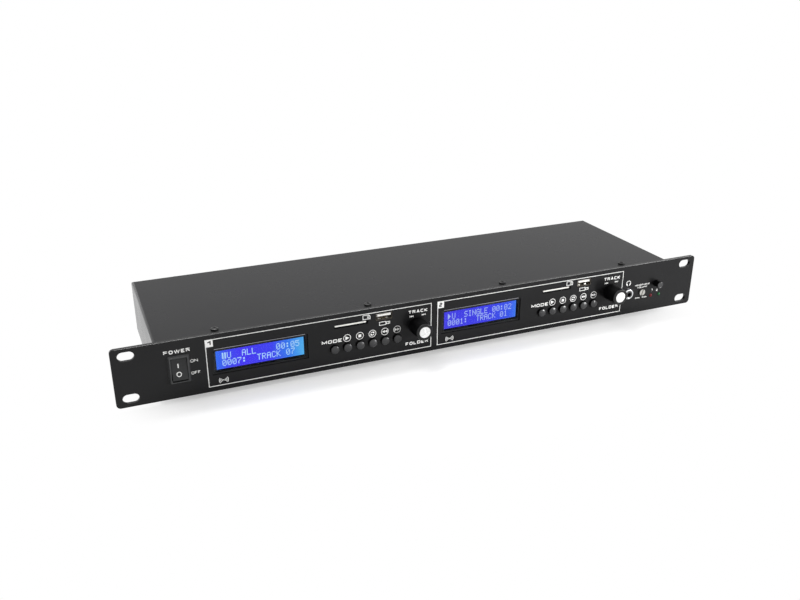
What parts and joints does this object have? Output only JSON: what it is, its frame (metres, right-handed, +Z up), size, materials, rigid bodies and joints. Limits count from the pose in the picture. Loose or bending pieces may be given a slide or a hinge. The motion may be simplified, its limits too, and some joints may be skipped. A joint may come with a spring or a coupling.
{
  "type": "dual media player",
  "caption": "Rack-mount media player with twin decks: blue displays, card and USB sockets, round buttons, push-and-turn knobs, power rocker and headphone controls.",
  "frame": {"origin": "on the floor under the middle of the overall box", "axes": "+X to the right seen from the front, +Y to the rear, +Z up"},
  "size_m": [0.4854, 0.149, 0.0491],
  "materials": {
    "panel_paint": "satin black powder coat",
    "case_paint": "matt black powder coat",
    "black_screw": "black oxide",
    "foot_rubber": "matt",
    "zinc": "zinc plated",
    "standoff_brass": "plain",
    "switch_plastic": "semi gloss",
    "tinned": "tinned",
    "clear_window": "clear",
    "display_frame": "matt black",
    "display_blue": "back lit",
    "green_board": "solder mask",
    "socket_steel": "bright nickel",
    "white_plastic": "satin",
    "button_plastic": "satin",
    "knob_plastic": "satin",
    "disc_silver": "spun",
    "encoder_steel": "plain",
    "black_plastic": "satin",
    "ring_chrome": "polished",
    "red_lamp": "diffused",
    "green_lamp": "diffused",
    "core_steel": "varnished",
    "phono_metal": "plated",
    "insert_white": "gloss",
    "insert_red": "gloss",
    "cable_grey": "satin"
  },
  "bodies": {
    "case": {"front_panel": "panel_paint", "chassis_tray": "case_paint", "rear_panel": "case_paint", "top_cover": "case_paint", "case_screws": "black_screw", "rubber_feet": "foot_rubber", "power_switch_housing": "switch_plastic", "switch_terminals": "tinned", "display_windows": "clear_window", "display_bezels": "display_frame", "display_glasses": "display_blue", "display_boards": "green_board", "usb_shells": "socket_steel", "usb_tongues": "white_plastic", "card_sockets": "white_plastic", "media_boards": "green_board", "key_boards": "green_board", "key_switches": "black_plastic", "encoder_bodies": "encoder_steel", "jack_body": "black_plastic", "jack_nut": "ring_chrome", "volume_pot_body": "black_plastic", "select_switch_body": "black_plastic", "led_red": "red_lamp", "led_green": "green_lamp", "phones_board": "green_board", "power_board": "green_board", "power_transformer": "core_steel", "mains_inlet": "black_plastic", "inlet_pins": "tinned", "output_jack_bodies": "black_plastic", "output_jack_shells": "phono_metal", "output_inserts_left": "insert_white", "output_inserts_right": "insert_red", "standoffs": "standoff_brass", "machine_screws": "zinc", "wire_looms": "cable_grey"},
    "power_rocker": {"power_rocker": "switch_plastic"},
    "mode_button_1": {"mode_button_1": "button_plastic"},
    "play_button_1": {"play_button_1": "button_plastic"},
    "stop_button_1": {"stop_button_1": "button_plastic"},
    "repeat_button_1": {"repeat_button_1": "button_plastic"},
    "previous_button_1": {"previous_button_1": "button_plastic"},
    "next_button_1": {"next_button_1": "button_plastic"},
    "encoder_turn_1": {"encoder_rotor_1": "black_plastic"},
    "encoder_knob_1": {"encoder_shaft_1": "encoder_steel", "track_knob_1": "knob_plastic", "knob_disc_1": "disc_silver"},
    "mode_button_2": {"mode_button_2": "button_plastic"},
    "play_button_2": {"play_button_2": "button_plastic"},
    "stop_button_2": {"stop_button_2": "button_plastic"},
    "repeat_button_2": {"repeat_button_2": "button_plastic"},
    "previous_button_2": {"previous_button_2": "button_plastic"},
    "next_button_2": {"next_button_2": "button_plastic"},
    "encoder_turn_2": {"encoder_rotor_2": "black_plastic"},
    "encoder_knob_2": {"encoder_shaft_2": "encoder_steel", "track_knob_2": "knob_plastic", "knob_disc_2": "disc_silver"},
    "volume_shaft": {"volume_shaft": "socket_steel"},
    "select_button": {"select_button": "knob_plastic"}
  },
  "joints": [
    {"name": "power_rocker_tilt", "type": "hinge", "parent": "case", "child": "power_rocker", "pos_m": [-0.1988, -0.05805, 0.0257], "axis": [1, 0, 0], "range_deg": [0, 18]},
    {"name": "mode_1_press", "type": "slide", "parent": "case", "child": "mode_button_1", "axis": [0, 1, 0], "range_m": [0, 0.0005], "stiffness_N_per_m": 100},
    {"name": "play_1_press", "type": "slide", "parent": "case", "child": "play_button_1", "axis": [0, 1, 0], "range_m": [0, 0.0005], "stiffness_N_per_m": 100},
    {"name": "stop_1_press", "type": "slide", "parent": "case", "child": "stop_button_1", "axis": [0, 1, 0], "range_m": [0, 0.0005], "stiffness_N_per_m": 100},
    {"name": "repeat_1_press", "type": "slide", "parent": "case", "child": "repeat_button_1", "axis": [0, 1, 0], "range_m": [0, 0.0005], "stiffness_N_per_m": 100},
    {"name": "previous_1_press", "type": "slide", "parent": "case", "child": "previous_button_1", "axis": [0, 1, 0], "range_m": [0, 0.0005], "stiffness_N_per_m": 100},
    {"name": "next_1_press", "type": "slide", "parent": "case", "child": "next_button_1", "axis": [0, 1, 0], "range_m": [0, 0.0005], "stiffness_N_per_m": 100},
    {"name": "track_1_turn", "type": "hinge", "parent": "case", "child": "encoder_turn_1", "pos_m": [-0.0196, -0.0605, 0.0271], "axis": [0, 1, 0], "continuous": true},
    {"name": "track_1_push", "type": "slide", "parent": "encoder_turn_1", "child": "encoder_knob_1", "axis": [0, 1, 0], "range_m": [0, 0.0005], "stiffness_N_per_m": 300},
    {"name": "mode_2_press", "type": "slide", "parent": "case", "child": "mode_button_2", "axis": [0, 1, 0], "range_m": [0, 0.0005], "stiffness_N_per_m": 100},
    {"name": "play_2_press", "type": "slide", "parent": "case", "child": "play_button_2", "axis": [0, 1, 0], "range_m": [0, 0.0005], "stiffness_N_per_m": 100},
    {"name": "stop_2_press", "type": "slide", "parent": "case", "child": "stop_button_2", "axis": [0, 1, 0], "range_m": [0, 0.0005], "stiffness_N_per_m": 100},
    {"name": "repeat_2_press", "type": "slide", "parent": "case", "child": "repeat_button_2", "axis": [0, 1, 0], "range_m": [0, 0.0005], "stiffness_N_per_m": 100},
    {"name": "previous_2_press", "type": "slide", "parent": "case", "child": "previous_button_2", "axis": [0, 1, 0], "range_m": [0, 0.0005], "stiffness_N_per_m": 100},
    {"name": "next_2_press", "type": "slide", "parent": "case", "child": "next_button_2", "axis": [0, 1, 0], "range_m": [0, 0.0005], "stiffness_N_per_m": 100},
    {"name": "track_2_turn", "type": "hinge", "parent": "case", "child": "encoder_turn_2", "pos_m": [0.1574, -0.0605, 0.0271], "axis": [0, 1, 0], "continuous": true},
    {"name": "track_2_push", "type": "slide", "parent": "encoder_turn_2", "child": "encoder_knob_2", "axis": [0, 1, 0], "range_m": [0, 0.0005], "stiffness_N_per_m": 300},
    {"name": "volume_turn", "type": "hinge", "parent": "case", "child": "volume_shaft", "pos_m": [0.1898, -0.0605, 0.0218], "axis": [0, 1, 0], "range_deg": [-150, 150]},
    {"name": "select_press", "type": "slide", "parent": "case", "child": "select_button", "axis": [0, 1, 0], "range_m": [0, 0.002], "stiffness_N_per_m": 100}
  ]
}
